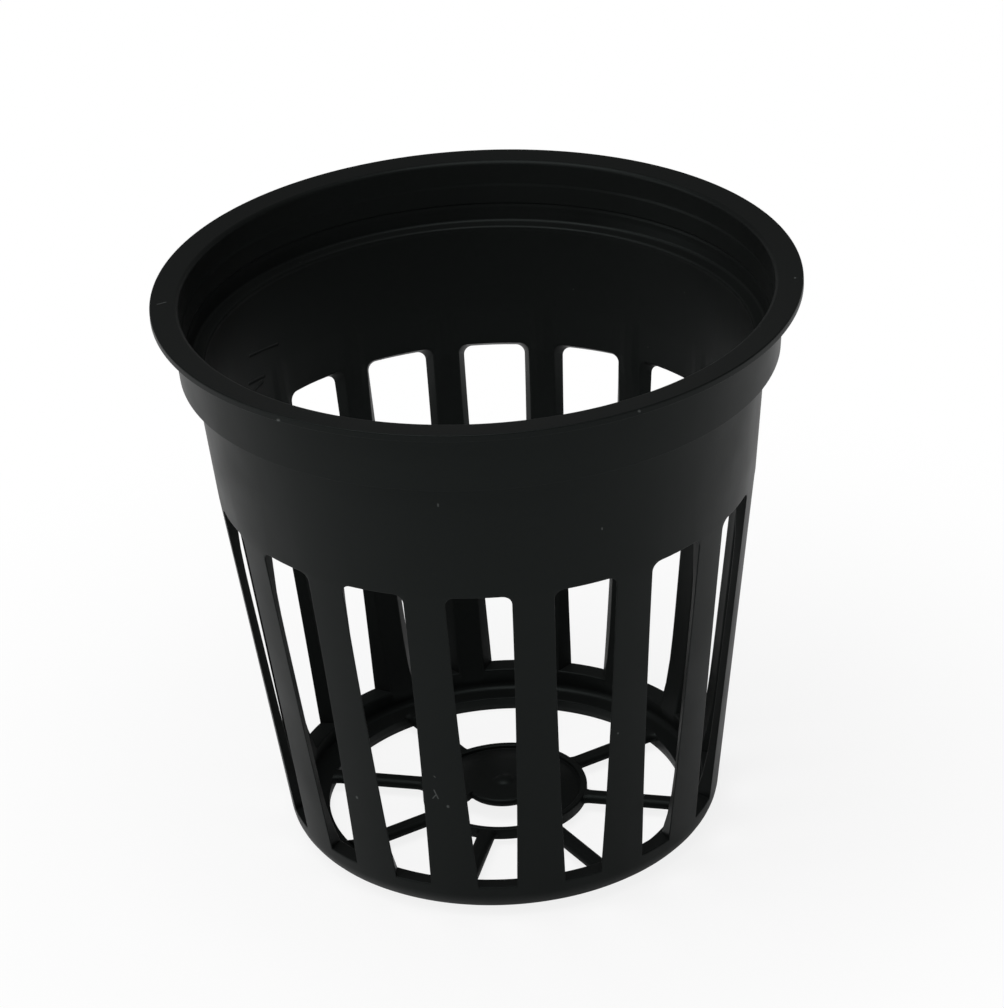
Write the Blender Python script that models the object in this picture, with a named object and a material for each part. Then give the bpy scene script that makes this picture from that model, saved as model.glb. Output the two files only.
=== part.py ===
"""Net pot: a slotted growing cup, moulded in one piece of black plastic.

The moulding is modelled as its own sections: rim flange, collar, wall band, ribs, base ring,
spokes and hub. Metres, +Z up, origin at the middle of the foot's underside. One rib and one
spoke lie on -Y, the front.
"""

from math import acos, ceil, cos, pi, radians, sin, tan

import bmesh
import bpy
from mathutils import Matrix, Vector

# Overall size
POT_HEIGHT = 0.0793
RIM_RADIUS = 0.0425

# Rim flange
FLANGE_WIDTH = 0.0025
FLANGE_THICKNESS = 0.0009
FLANGE_EDGE_ROUND = 0.0003
FLANGE_DISH = 0.0002
MOUTH_ROUND = 0.0007

# Collar under the flange, which ends in a step outside and a ledge inside
COLLAR_DEPTH = 0.0094
COLLAR_DRAFT = 0.0007
COLLAR_WALL = 0.0013
COLLAR_FOOT_ROUND = 0.0003
STEP_WIDTH = 0.0019
LEDGE_RISE = 0.0007
LEDGE_ROUND = 0.0004

# Wall below the step
BAND_HEIGHT = 0.0174
BAND_TAPER = radians(5.6)
SLOTTED_TAPER = radians(7.38)
WALL_TOP_THICKNESS = 0.0015
WALL_SILL_THICKNESS = 0.00235

# Ribs and the slots between them
RIB_COUNT = 16
RIB_HEAD_WIDTH = 0.0056
RIB_FOOT_WIDTH = 0.0067
RIB_INNER_WIDTH = 0.0035
RIB_ROOT = 0.0010
RIB_HEAD = 0.0028
SLOT_CORNER_ROUND = 0.0017
SLOT_HEAD_RISE = 0.0011
SILL_HEIGHT = 0.00515
SILL_FALL = 0.0002

# Shallow recess that carries each slot on up the inside of the band
RECESS_DEPTH = 0.0006
RECESS_HEIGHT = 0.0055

# Base ring: the wall's turned-in lower edge, the foot and the flat rim round the grid
BILGE_ANGLE = radians(22.0)
BILGE_ROUND = 0.0056
FOOT_WIDTH = 0.0007
FOOT_SETBACK = 0.0002
FLOOR_UNDERSIDE = 0.0009
FLOOR_THICKNESS = 0.00105
FLOOR_WIDTH = 0.0030
FLOOR_EDGE_ROUND = 0.00015
HEEL_ROUND = 0.0009

# Bottom grid
SPOKE_COUNT = 8
SPOKE_WIDTH = 0.00205
SPOKE_HEIGHT = 0.00155
SPOKE_ROUND = 0.0006
HUB_RADIUS = 0.01134
HUB_HEIGHT = 0.0016
HUB_WALL = 0.0009
HUB_FLOOR_THICKNESS = 0.0011
HUB_ROUND = 0.00025
BOSS_RADIUS = 0.0053
BOSS_HEIGHT = 0.0018
BOSS_ROUND = 0.0003
GATE_RADIUS = 0.0008
GATE_HEIGHT = 0.0011
GATE_ROUND = 0.0003
WINDOW_HALF_ANGLE = radians(31.0)
WINDOW_MARGIN = 0.00015

# Finish, the same black plastic all over
PLASTIC_COLOUR = (0.012, 0.013, 0.0125, 1.0)
PLASTIC_ROUGHNESS = 0.42

# Fineness of the facets
SEGMENTS = 64
HUB_SEGMENTS = 32
ARC_TOLERANCE = 0.00003
SHARP_ANGLE = radians(50.0)
CUT_OVERRUN = 0.001
WELD_DISTANCE = 0.000001

FRONT = -pi / 2
PITCH = 2 * pi / RIB_COUNT
UP = Vector((0, 0, 1))

# Heights and radii that follow from the sizes above
FLANGE_UNDERSIDE = POT_HEIGHT - FLANGE_THICKNESS
STEP_HEIGHT = POT_HEIGHT - COLLAR_DEPTH
SLOT_TOP = STEP_HEIGHT - BAND_HEIGHT
COLLAR_TOP_RADIUS = RIM_RADIUS - FLANGE_WIDTH
MOUTH_RADIUS = COLLAR_TOP_RADIUS - COLLAR_WALL
COLLAR_FOOT_RADIUS = COLLAR_TOP_RADIUS - COLLAR_DRAFT
WALL_TOP_RADIUS = COLLAR_FOOT_RADIUS - STEP_WIDTH
SLOT_TOP_RADIUS = WALL_TOP_RADIUS - BAND_HEIGHT * tan(BAND_TAPER)
FLOOR_TOP = FLOOR_UNDERSIDE + FLOOR_THICKNESS


def wall_radius(height):
    """Outer radius of the slotted wall, which runs straight from the slot tops to the base."""
    return SLOT_TOP_RADIUS - (SLOT_TOP - height) * tan(SLOTTED_TAPER)


HEEL_RADIUS = wall_radius(SILL_HEIGHT) - WALL_SILL_THICKNESS
HOLE_RADIUS = HEEL_RADIUS - FLOOR_WIDTH
FOOT_INNER_RADIUS = HOLE_RADIUS + FOOT_SETBACK
FOOT_OUTER_RADIUS = FOOT_INNER_RADIUS + FOOT_WIDTH


def inner_radius(height):
    """Inner radius of the wall, one straight line from the heel to the ledge."""
    top = WALL_TOP_RADIUS - WALL_TOP_THICKNESS
    share = (height - SILL_HEIGHT) / (STEP_HEIGHT - SILL_HEIGHT)
    return HEEL_RADIUS + share * (top - HEEL_RADIUS)


def bilge_corner():
    """Where the wall's outer line would meet the underside that turns up outside the foot."""
    run_per_rise = 1 / tan(BILGE_ANGLE)
    height = (wall_radius(0) - FOOT_OUTER_RADIUS) / (run_per_rise - tan(SLOTTED_TAPER))
    return wall_radius(height), height


def rounded_corner(before, corner, after, radius):
    """Points of the arc that rounds one corner of an outline, at most half of each side long."""
    back = Vector(before) - corner
    ahead = Vector(after) - corner
    opening = back.angle(ahead)
    reach = min(radius / tan(opening / 2), back.length / 2, ahead.length / 2)
    radius = reach * tan(opening / 2)
    back.normalize()
    ahead.normalize()
    centre = corner + (back + ahead).normalized() * radius / sin(opening / 2)
    start = corner + back * reach - centre
    end = corner + ahead * reach - centre
    sweep = start.angle(end)
    steps = max(2, ceil(sweep / (2 * acos(1 - ARC_TOLERANCE / max(radius, 2 * ARC_TOLERANCE)))))
    points = []
    for step in range(steps + 1):
        share = step / steps
        blend = start * sin((1 - share) * sweep) + end * sin(share * sweep)
        points.append(centre + blend / sin(sweep))
    return points


def outline(corners):
    """A closed outline from (across, up, rounding) corners."""
    points = []
    for index, (across, up, rounding) in enumerate(corners):
        corner = Vector((across, up))
        if rounding:
            before = corners[index - 1][:2]
            after = corners[(index + 1) % len(corners)][:2]
            points += rounded_corner(before, corner, after, rounding)
        else:
            points.append(corner)
    return points


def turned(points, segments):
    """A bmesh turned about the pot's axis from (radius, height) points, with one facet on +X."""
    bm = bmesh.new()
    start = -pi / segments
    ring = [bm.verts.new((point.x * cos(start), point.x * sin(start), point.y)) for point in points]
    edges = [bm.edges.new(pair) for pair in zip(ring, ring[1:])]
    if points[0].x > 0:
        edges.append(bm.edges.new((ring[-1], ring[0])))
    bmesh.ops.spin(bm, geom=ring + edges, axis=UP, angle=2 * pi, steps=segments, use_merge=True)
    bmesh.ops.remove_doubles(bm, verts=bm.verts, dist=WELD_DISTANCE)
    bmesh.ops.recalc_face_normals(bm, faces=bm.faces)
    return bm


def turned_sector(points, middle, half_angle, steps):
    """A bmesh of a turned outline that covers only part of the circle, closed at both ends."""
    bm = bmesh.new()
    start = middle - half_angle
    bm.faces.new([bm.verts.new((p.x * cos(start), p.x * sin(start), p.y)) for p in points])
    bmesh.ops.spin(bm, geom=whole(bm), axis=UP, angle=2 * half_angle, steps=steps)
    bmesh.ops.recalc_face_normals(bm, faces=bm.faces)
    return bm


def lofted(rings):
    """A bmesh that joins two outlines of as many points, with a cap on each."""
    bm = bmesh.new()
    for ring in rings:
        bm.faces.new([bm.verts.new(point) for point in ring])
    bmesh.ops.bridge_loops(bm, edges=bm.edges[:])
    bmesh.ops.recalc_face_normals(bm, faces=bm.faces)
    return bm


def whole(bm):
    return bm.verts[:] + bm.edges[:] + bm.faces[:]


def repeat_round(bm, count):
    """Repeats what a bmesh holds at equal angles round the pot's axis."""
    sweep = 2 * pi * (count - 1) / count
    bmesh.ops.spin(bm, geom=whole(bm), axis=UP, angle=sweep, steps=count - 1, use_duplicate=True)
    return bm


def level(bm, *heights):
    """Sets the points that lie on a shared plane to exactly its height."""
    for vert in bm.verts:
        for height in heights:
            if abs(vert.co.z - height) < WELD_DISTANCE:
                vert.co.z = height
    return bm


def mesh_from(bm, name):
    mesh = bpy.data.meshes.new(name)
    bm.to_mesh(mesh)
    bm.free()
    return mesh


def black_plastic(name):
    material = bpy.data.materials.new(name)
    material.use_nodes = True
    shader = material.node_tree.nodes["Principled BSDF"]
    shader.inputs["Base Color"].default_value = PLASTIC_COLOUR
    shader.inputs["Roughness"].default_value = PLASTIC_ROUGHNESS
    shader.inputs["Metallic"].default_value = 0.0
    material.diffuse_color = PLASTIC_COLOUR
    return material


def finish(mesh):
    """Gives a section's mesh its smooth shading and its material."""
    mesh.shade_smooth()
    mesh.set_sharp_from_angle(angle=SHARP_ANGLE)
    mesh.materials.append(black_plastic(mesh.name + "_plastic"))
    return mesh


def place(mesh, name, pot, turn=0.0):
    section = bpy.data.objects.new(name, mesh)
    bpy.context.scene.collection.objects.link(section)
    section.parent = pot
    section.rotation_euler.z = turn
    return section


def cutter(bm, name, pot):
    tool = place(mesh_from(bm, name), name, pot)
    tool.hide_render = True
    tool.display_type = "WIRE"
    return tool


def cut(target, tool):
    modifier = target.modifiers.new(tool.name, "BOOLEAN")
    modifier.operation = "DIFFERENCE"
    modifier.solver = "EXACT"
    modifier.object = tool


def flange_top(radius):
    """Height of the flange's top face, which dishes slightly towards the mouth."""
    return POT_HEIGHT - FLANGE_DISH * (RIM_RADIUS - radius) / (RIM_RADIUS - MOUTH_RADIUS)


def make_rim_flange():
    """Flat ring that stands out from the collar's top."""
    section = outline([
        (COLLAR_TOP_RADIUS, FLANGE_UNDERSIDE, 0),
        (RIM_RADIUS, FLANGE_UNDERSIDE, FLANGE_EDGE_ROUND),
        (RIM_RADIUS, POT_HEIGHT, FLANGE_EDGE_ROUND),
        (COLLAR_TOP_RADIUS, flange_top(COLLAR_TOP_RADIUS), 0),
    ])
    return mesh_from(turned(section, SEGMENTS), "rim_flange")


def make_collar():
    """Short drafted collar: rounded mouth above, step outside and rounded ledge inside."""
    ledge = STEP_HEIGHT + LEDGE_RISE
    ledge_radius = WALL_TOP_RADIUS - WALL_TOP_THICKNESS
    section = outline([
        (ledge_radius, STEP_HEIGHT, 0),
        (COLLAR_FOOT_RADIUS, STEP_HEIGHT, COLLAR_FOOT_ROUND),
        (COLLAR_TOP_RADIUS, FLANGE_UNDERSIDE, 0),
        (COLLAR_TOP_RADIUS, flange_top(COLLAR_TOP_RADIUS), 0),
        (MOUTH_RADIUS, flange_top(MOUTH_RADIUS), MOUTH_ROUND),
        (COLLAR_FOOT_RADIUS - COLLAR_WALL, ledge, LEDGE_ROUND),
        (ledge_radius, ledge, LEDGE_ROUND),
    ])
    return mesh_from(level(turned(section, SEGMENTS), STEP_HEIGHT), "collar")


def make_wall_shell():
    """The whole wall from the step down to the foot, before the slots are cut."""
    section = outline([
        (WALL_TOP_RADIUS, STEP_HEIGHT, 0),
        (WALL_TOP_RADIUS - WALL_TOP_THICKNESS, STEP_HEIGHT, 0),
        (HEEL_RADIUS, SILL_HEIGHT - SILL_FALL, 0),
        (HEEL_RADIUS, FLOOR_TOP, HEEL_ROUND),
        (HOLE_RADIUS, FLOOR_TOP, FLOOR_EDGE_ROUND),
        (HOLE_RADIUS, FLOOR_UNDERSIDE, 0),
        (FOOT_INNER_RADIUS, 0, 0),
        (FOOT_OUTER_RADIUS, 0, 0),
        (*bilge_corner(), BILGE_ROUND),
        (SLOT_TOP_RADIUS, SLOT_TOP, 0),
    ])
    return mesh_from(turned(section, SEGMENTS), "wall_shell")


def slot_edge(height, depth):
    """Half the slot's width where a rib's side passes, at a share of the wall's depth."""
    share = (height - SILL_HEIGHT) / (SLOT_TOP - SILL_HEIGHT)
    outer_width = RIB_FOOT_WIDTH + share * (RIB_HEAD_WIDTH - RIB_FOOT_WIDTH)
    rib_width = outer_width + depth * (RIB_INNER_WIDTH - outer_width)
    return slot_radius(height, depth) * tan(PITCH / 2) - rib_width / 2 / cos(PITCH / 2)


def slot_radius(height, depth):
    return wall_radius(height) + depth * (inner_radius(height) - wall_radius(height))


def slot_ring(depth):
    """The slot's outline at a share of the wall's depth: wider, and higher at its head, inside."""
    sill = SILL_HEIGHT - depth * SILL_FALL
    head = SLOT_TOP + depth * SLOT_HEAD_RISE
    points = outline([
        (-slot_edge(sill, depth), sill, 0),
        (slot_edge(sill, depth), sill, 0),
        (slot_edge(head, depth), head, SLOT_CORNER_ROUND),
        (-slot_edge(head, depth), head, SLOT_CORNER_ROUND),
    ])
    return [(slot_radius(point.y, depth), point.x, point.y) for point in points]


def make_slot_cutters(pot):
    """One flared cutter between each two ribs, through the wall and past both its faces."""
    past = CUT_OVERRUN / WALL_TOP_THICKNESS
    bm = lofted([slot_ring(-past), slot_ring(1 + past)])
    bmesh.ops.rotate(bm, verts=bm.verts, matrix=Matrix.Rotation(PITCH / 2, 3, "Z"))
    return cutter(repeat_round(bm, RIB_COUNT), "slot_cutters", pot)


def make_recess_cutters(pot):
    """Wedges that thin the inside of the band above each slot and fade out upwards."""
    low = SLOT_TOP - SLOT_CORNER_ROUND
    high = SLOT_TOP + RECESS_HEIGHT
    fade = RECESS_DEPTH / RECESS_HEIGHT
    wedge = [
        Vector((inner_radius(low) + (high - low) * fade, low)),
        Vector((inner_radius(high + CUT_OVERRUN) - CUT_OVERRUN * fade, high + CUT_OVERRUN)),
        Vector((inner_radius(low) - CUT_OVERRUN, high + CUT_OVERRUN)),
        Vector((inner_radius(low) - CUT_OVERRUN, low)),
    ]
    half_angle = slot_edge(SLOT_TOP, 1) / inner_radius(SLOT_TOP)
    bm = turned_sector(wedge, PITCH / 2, half_angle, SEGMENTS // RIB_COUNT)
    return cutter(repeat_round(bm, RIB_COUNT), "recess_cutters", pot)


def cut_wall_shell(pot):
    """The slotted wall as one evaluated mesh, ready to be divided into its sections."""
    shell = place(make_wall_shell(), "wall_shell", pot)
    cut(shell, make_recess_cutters(pot))
    cut(shell, make_slot_cutters(pot))
    evaluated = shell.evaluated_get(bpy.context.evaluated_depsgraph_get())
    slotted = bpy.data.meshes.new_from_object(evaluated)
    bpy.data.objects.remove(shell)
    return slotted


def slice_of(mesh, name, low=None, high=None):
    """The part of a mesh between two heights, with flat faces where it was cut."""
    bm = bmesh.new()
    bm.from_mesh(mesh)
    for height, side in ((low, -UP), (high, UP)):
        if height is None:
            continue
        origin = (0, 0, height)
        found = bmesh.ops.bisect_plane(bm, geom=whole(bm), plane_co=origin, plane_no=side, clear_outer=True)
        rim = [item for item in found["geom_cut"] if isinstance(item, bmesh.types.BMEdge)]
        bmesh.ops.holes_fill(bm, edges=rim)
        level(bm, height)
    level(bm, STEP_HEIGHT)
    bmesh.ops.recalc_face_normals(bm, faces=bm.faces)
    return mesh_from(bm, name)


def keep_first_rib(mesh):
    """Leaves only the rib on +X of a mesh that holds all of them."""
    bm = bmesh.new()
    bm.from_mesh(mesh)
    others = [vert for vert in bm.verts if abs(Vector((1, 0)).angle(vert.co.xy)) > PITCH / 2]
    bmesh.ops.delete(bm, geom=others, context="VERTS")
    bm.to_mesh(mesh)
    bm.free()
    return mesh


def make_spoke():
    """Bar of the bottom grid along +X, with a rounded top, from the hub's side to the hole's."""
    inner = HUB_RADIUS * cos(pi / HUB_SEGMENTS)
    outer = HOLE_RADIUS * cos(pi / SEGMENTS)
    top = FLOOR_UNDERSIDE + SPOKE_HEIGHT
    section = outline([
        (-SPOKE_WIDTH / 2, FLOOR_UNDERSIDE, 0),
        (SPOKE_WIDTH / 2, FLOOR_UNDERSIDE, 0),
        (SPOKE_WIDTH / 2, top, SPOKE_ROUND),
        (-SPOKE_WIDTH / 2, top, SPOKE_ROUND),
    ])
    bm = bmesh.new()
    end = bm.faces.new([bm.verts.new((inner, point.x, point.y)) for point in section])
    extruded = bmesh.ops.extrude_face_region(bm, geom=[end])
    moved = [item for item in extruded["geom"] if isinstance(item, bmesh.types.BMVert)]
    bmesh.ops.translate(bm, verts=moved, vec=(outer - inner, 0, 0))
    bmesh.ops.recalc_face_normals(bm, faces=bm.faces)
    return mesh_from(bm, "spoke")


def make_hub(pot):
    """Cupped disc with a low boss and the gate's stub, and one window in front of the boss."""
    recess = FLOOR_UNDERSIDE + HUB_FLOOR_THICKNESS
    top = FLOOR_UNDERSIDE + HUB_HEIGHT
    boss_top = FLOOR_UNDERSIDE + BOSS_HEIGHT
    gate_top = boss_top + GATE_HEIGHT
    section = outline([
        (0, FLOOR_UNDERSIDE, 0),
        (HUB_RADIUS, FLOOR_UNDERSIDE, 0),
        (HUB_RADIUS, top, HUB_ROUND),
        (HUB_RADIUS - HUB_WALL, top, HUB_ROUND),
        (HUB_RADIUS - HUB_WALL, recess, 0),
        (BOSS_RADIUS, recess, 0),
        (BOSS_RADIUS, boss_top, BOSS_ROUND),
        (GATE_RADIUS, boss_top, 0),
        (GATE_RADIUS, gate_top, GATE_ROUND),
        (0, gate_top, 0),
    ])
    hub = place(finish(mesh_from(turned(section, HUB_SEGMENTS), "hub")), "hub", pot)
    window = outline([
        (BOSS_RADIUS + WINDOW_MARGIN, FLOOR_UNDERSIDE - CUT_OVERRUN, 0),
        (HUB_RADIUS - HUB_WALL - WINDOW_MARGIN, FLOOR_UNDERSIDE - CUT_OVERRUN, 0),
        (HUB_RADIUS - HUB_WALL - WINDOW_MARGIN, top + CUT_OVERRUN, 0),
        (BOSS_RADIUS + WINDOW_MARGIN, top + CUT_OVERRUN, 0),
    ])
    steps = ceil(2 * WINDOW_HALF_ANGLE / (2 * pi / SEGMENTS))
    cut(hub, cutter(turned_sector(window, FRONT, WINDOW_HALF_ANGLE, steps), "window_cutter", pot))
    return hub


def clear_scene():
    for item in list(bpy.data.objects):
        bpy.data.objects.remove(item)


def build_net_pot():
    clear_scene()
    pot = bpy.data.objects.new("net_pot", None)
    bpy.context.scene.collection.objects.link(pot)

    place(finish(make_rim_flange()), "rim_flange", pot)
    place(finish(make_collar()), "collar", pot)

    slotted = cut_wall_shell(pot)
    rib_low = SILL_HEIGHT + RIB_ROOT
    rib_high = SLOT_TOP - RIB_HEAD
    place(finish(slice_of(slotted, "wall_band", low=rib_high)), "wall_band", pot)
    place(finish(slice_of(slotted, "base_ring", high=rib_low)), "base_ring", pot)
    rib = finish(keep_first_rib(slice_of(slotted, "rib", low=rib_low, high=rib_high)))
    for number in range(RIB_COUNT):
        place(rib, f"rib_{number + 1:02d}", pot, turn=FRONT + number * PITCH)

    spoke = finish(make_spoke())
    for number in range(SPOKE_COUNT):
        place(spoke, f"spoke_{number + 1}", pot, turn=FRONT + number * 2 * pi / SPOKE_COUNT)
    make_hub(pot)


build_net_pot()
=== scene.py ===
"""Net pot: its moulded surfaces, its black plastic and the photo stage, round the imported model.

The file is laid out as an add-on. Sizes and colours are scene properties, each piece has its own
operator, and the panel in the sidebar lists them. Metres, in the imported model's frame: +Z up, with
rib_01, spoke_1 and the hub's window on -Y, the front.
"""

from math import asin, cos, pi, radians, sin

import bmesh
import bpy
from bpy.props import FloatProperty, FloatVectorProperty, PointerProperty
from mathutils import Matrix, Vector


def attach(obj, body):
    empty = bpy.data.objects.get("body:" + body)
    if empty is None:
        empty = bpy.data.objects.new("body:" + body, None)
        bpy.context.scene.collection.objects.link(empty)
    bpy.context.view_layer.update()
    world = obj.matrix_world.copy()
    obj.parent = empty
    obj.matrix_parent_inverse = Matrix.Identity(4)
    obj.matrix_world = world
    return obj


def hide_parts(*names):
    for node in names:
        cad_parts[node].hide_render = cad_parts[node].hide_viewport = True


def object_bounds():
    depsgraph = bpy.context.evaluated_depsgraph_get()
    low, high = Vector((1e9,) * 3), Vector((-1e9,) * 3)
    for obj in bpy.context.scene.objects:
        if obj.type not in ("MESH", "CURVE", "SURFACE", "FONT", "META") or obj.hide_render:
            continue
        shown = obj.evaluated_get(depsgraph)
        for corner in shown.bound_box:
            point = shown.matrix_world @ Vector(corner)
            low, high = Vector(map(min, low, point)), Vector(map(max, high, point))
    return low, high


bl_info = {
    "name": "Net Pot",
    "version": (1, 0, 0),
    "blender": (4, 5, 0),
    "location": "3D View > Sidebar > Net Pot",
    "description": "Moulded surfaces, black plastic and photo stage of a slotted net pot",
    "category": "Object",
}

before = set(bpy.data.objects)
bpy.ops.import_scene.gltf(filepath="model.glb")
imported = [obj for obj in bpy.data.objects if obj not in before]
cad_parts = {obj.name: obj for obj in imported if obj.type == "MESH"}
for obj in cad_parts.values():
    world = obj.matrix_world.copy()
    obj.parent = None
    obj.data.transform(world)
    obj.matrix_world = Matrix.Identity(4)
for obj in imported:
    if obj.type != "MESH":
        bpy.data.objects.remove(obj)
CAD_LOW, CAD_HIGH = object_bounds()
RIBS = [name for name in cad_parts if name.startswith("rib_")]
SPOKES = [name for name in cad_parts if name.startswith("spoke_")]

BODY = "root"

PITCH = 2 * pi / len(RIBS)
FRONT = -pi / 2
AXIS = Vector((0, 0, 1))

# Columns of one bay of the wall, counted from the middle of its slot to the middle of its rib
FLAT_COLUMN = 2
BOX_COLUMN = 6
STEP_COLUMN = 7
RIB_COLUMN = 9
BAY_COLUMNS = 2 * RIB_COLUMN
TURNS = BAY_COLUMNS * len(RIBS)

# Rows of one face of the wall beside a slot: those round its head's corner, then those below
CORNER_ROWS = BOX_COLUMN - FLAT_COLUMN
SIDE_ROWS = 14
SLOT_ROWS = CORNER_ROWS + SIDE_ROWS

# Rows of the plain band over the slots, as shares of its height from the step down
BAND_SHARES = (0, 0.25, 0.5, 0.72)

# How far over the slots the inside's columns follow them, in recess heights
RECESS_CLEAR = 1.3

# Power with which the ribs' relief fades towards the slots' ends
RELIEF_POWER = 6

# Half a cell of the flat grid that a bay of the wall starts from
HALF_CELL = 0.5

# Run of the slopes of the collar's fine shoulder and groove, in ring depths
SHOULDER_RUN = 1.5
GROOVE_RUN_UP, GROOVE_RUN_DOWN = 2, 3

# How far a spoke's ends reach into the hub and the floor ring, and the steps of its flares
HUB_LAP, RING_LAP = 0.0002, 0.0001
FLARE_SHARES = (0, 0.3, 0.6, 1)

# The hub's sides, how far its slope has risen halfway, and how upright a level face's normal is
HUB_TURNS = 180
HALFWAY_RISE = 0.65
LEVEL = 0.8

# The gate's stub in gate radii: its radius and its rounding, at the foot and at the tip
GATE_FOOT, GATE_FOOT_ROUND = 1.6, 0.3
GATE_TIP, GATE_TIP_ROUND = 0.8, 0.5

# Segments of a rounded corner and of a rounded edge
ARC_STEPS = 6
EDGE_STEPS = 3

# Points nearer than this are one, sharper edges stay sharp, and flat faces shade flat
WELD = 1e-6
SHARP = radians(50)
FLAT_WEIGHT = 100

# The plastic's patterns: cells to the metre, their detail, and depths in metres
CLOUD_SCALE, CLOUD_DETAIL = 85.0, 4.0
SCUFF_SCALE, SCUFF_REACH = 170.0, (0.014, 0.026)
GRAIN_SCALE, GRAIN_DETAIL = 2600.0, 2.0
GRAIN_STRENGTH, GRAIN_DEPTH = 0.25, 0.00002
SCRATCH_DEPTH = 0.0001

# The clouds' range that changes the roughness, and how far it falls and rises
SHEEN_CLOUDS = (0.3, 0.7)
SHEEN_DROP, SHEEN_RISE = 0.04, 0.06

# The floor, and the distances from the pot's axis between which its white grows
FLOOR_RADIUS, FLOOR_SIDES, FLOOR_ROUGHNESS = 6.0, 96, 0.9
WHITE_REACH = (0.03, 0.13)

# The heights over the horizon, from 0 to 1, between which the backdrop dims
BACKDROP_RISE = (0.02, 0.28)

# The side and the place of each square lamp, and the nearest that the camera sees
KEY_LAMP = (0.9, (-0.15, -0.25, 1.0))
LEFT_LAMP = (0.5, (-0.9, -0.35, 0.45))
NEAREST_SEEN = 0.01

# Height of a row of nodes
NODE_ROW = 250

# Dust and scratches where the photo shows them: start, end and radius of each mark
DUST = (
    ((0.00308, -0.03694, 0.06689), (0.00308, -0.03690, 0.06660), 0.00018),
    ((0.02198, -0.02911, 0.06060), (0.02198, -0.02909, 0.06040), 0.00016),
    ((0.02792, -0.03200, 0.07899), (0.02800, -0.03193, 0.07890), 0.00025),
    ((-0.01583, -0.03935, 0.07861), (-0.01600, -0.03929, 0.07855), 0.00028),
    ((-0.01283, -0.02832, 0.01713), (-0.01283, -0.02831, 0.01700), 0.00028),
    ((0.00030, -0.03129, 0.01882), (0.00030, -0.03128, 0.01870), 0.00028),
    ((-0.00135, -0.03162, 0.02133), (-0.00090, -0.03145, 0.01995), 0.00013),
    ((-0.00112, -0.03152, 0.02060), (-0.00165, -0.03144, 0.01990), 0.00012),
    ((-0.00114, -0.03192, 0.02368), (-0.00100, -0.03190, 0.02350), 0.00012),
    ((0.04076, 0.00665, 0.07924), (0.04076, 0.00680, 0.07924), 0.00020),
    ((0.02175, -0.02408, 0.02745), (0.02175, -0.02407, 0.02735), 0.00018),
    ((-0.03990, -0.01105, 0.07925), (-0.03898, -0.01016, 0.07918), 0.00012),
)
SCRATCHES = (
    ((-0.03400, 0.00789, 0.06261), (-0.03182, 0.01395, 0.06154), 0.00028),
    ((-0.03400, 0.00620, 0.05930), (-0.03290, 0.01000, 0.05860), 0.00032),
    ((-0.03410, 0.00600, 0.05760), (-0.03300, 0.00929, 0.05800), 0.00028),
)


class NetPotRim(bpy.types.PropertyGroup):
    """Sizes of the flange and the collar."""

    radius: FloatProperty(
        name="Radius", description="Outer radius of the flange", default=CAD_HIGH.x, unit="LENGTH")
    top: FloatProperty(
        name="Height", description="Height of the flange's outer edge", default=CAD_HIGH.z,
        unit="LENGTH")
    flange_thickness: FloatProperty(
        name="Flange thickness", description="Thickness of the flange", default=0.0009,
        unit="LENGTH")
    flange_round: FloatProperty(
        name="Flange rounding", description="Rounding of the flange's edges", default=0.0002,
        unit="LENGTH")
    step_round: FloatProperty(
        name="Step rounding", description="Rounding of the collar's lower edge", default=0.00004,
        unit="LENGTH")
    dish: FloatProperty(
        name="Dish", description="How far the flange's top falls to the mouth", default=0.0002,
        unit="LENGTH")
    collar_top: FloatProperty(
        name="Collar radius", description="Radius of the collar under the flange", default=0.04,
        unit="LENGTH")
    collar_foot: FloatProperty(
        name="Collar foot radius", description="Radius of the collar at its step", default=0.0393,
        unit="LENGTH")
    collar_wall: FloatProperty(
        name="Collar wall", description="Wall thickness of the collar", default=0.0013,
        unit="LENGTH")
    mouth_round: FloatProperty(
        name="Mouth rounding", description="Rounding of the mouth's edge", default=0.0006,
        unit="LENGTH")
    ledge_rise: FloatProperty(
        name="Ledge rise", description="Height of the ledge above the step", default=0.0007,
        unit="LENGTH")
    ledge_round: FloatProperty(
        name="Ledge rounding", description="Rounding of the ledge's edge", default=0.00035,
        unit="LENGTH")
    throat_slope: FloatProperty(
        name="Throat slope", description="How far the collar's inside slopes in above its ledge",
        default=0.0003, unit="LENGTH")
    throat_height: FloatProperty(
        name="Throat height", description="Height of that slope", default=0.0015, unit="LENGTH")
    shoulder_height: FloatProperty(
        name="Shoulder height", description="Height of the fine shoulder inside the collar",
        default=0.0757, unit="LENGTH")
    groove_height: FloatProperty(
        name="Groove height", description="Height of the fine groove inside the collar",
        default=0.0729, unit="LENGTH")
    ring_depth: FloatProperty(
        name="Ring depth", description="Depth of the shoulder and the groove", default=0.00012,
        unit="LENGTH")


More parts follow.
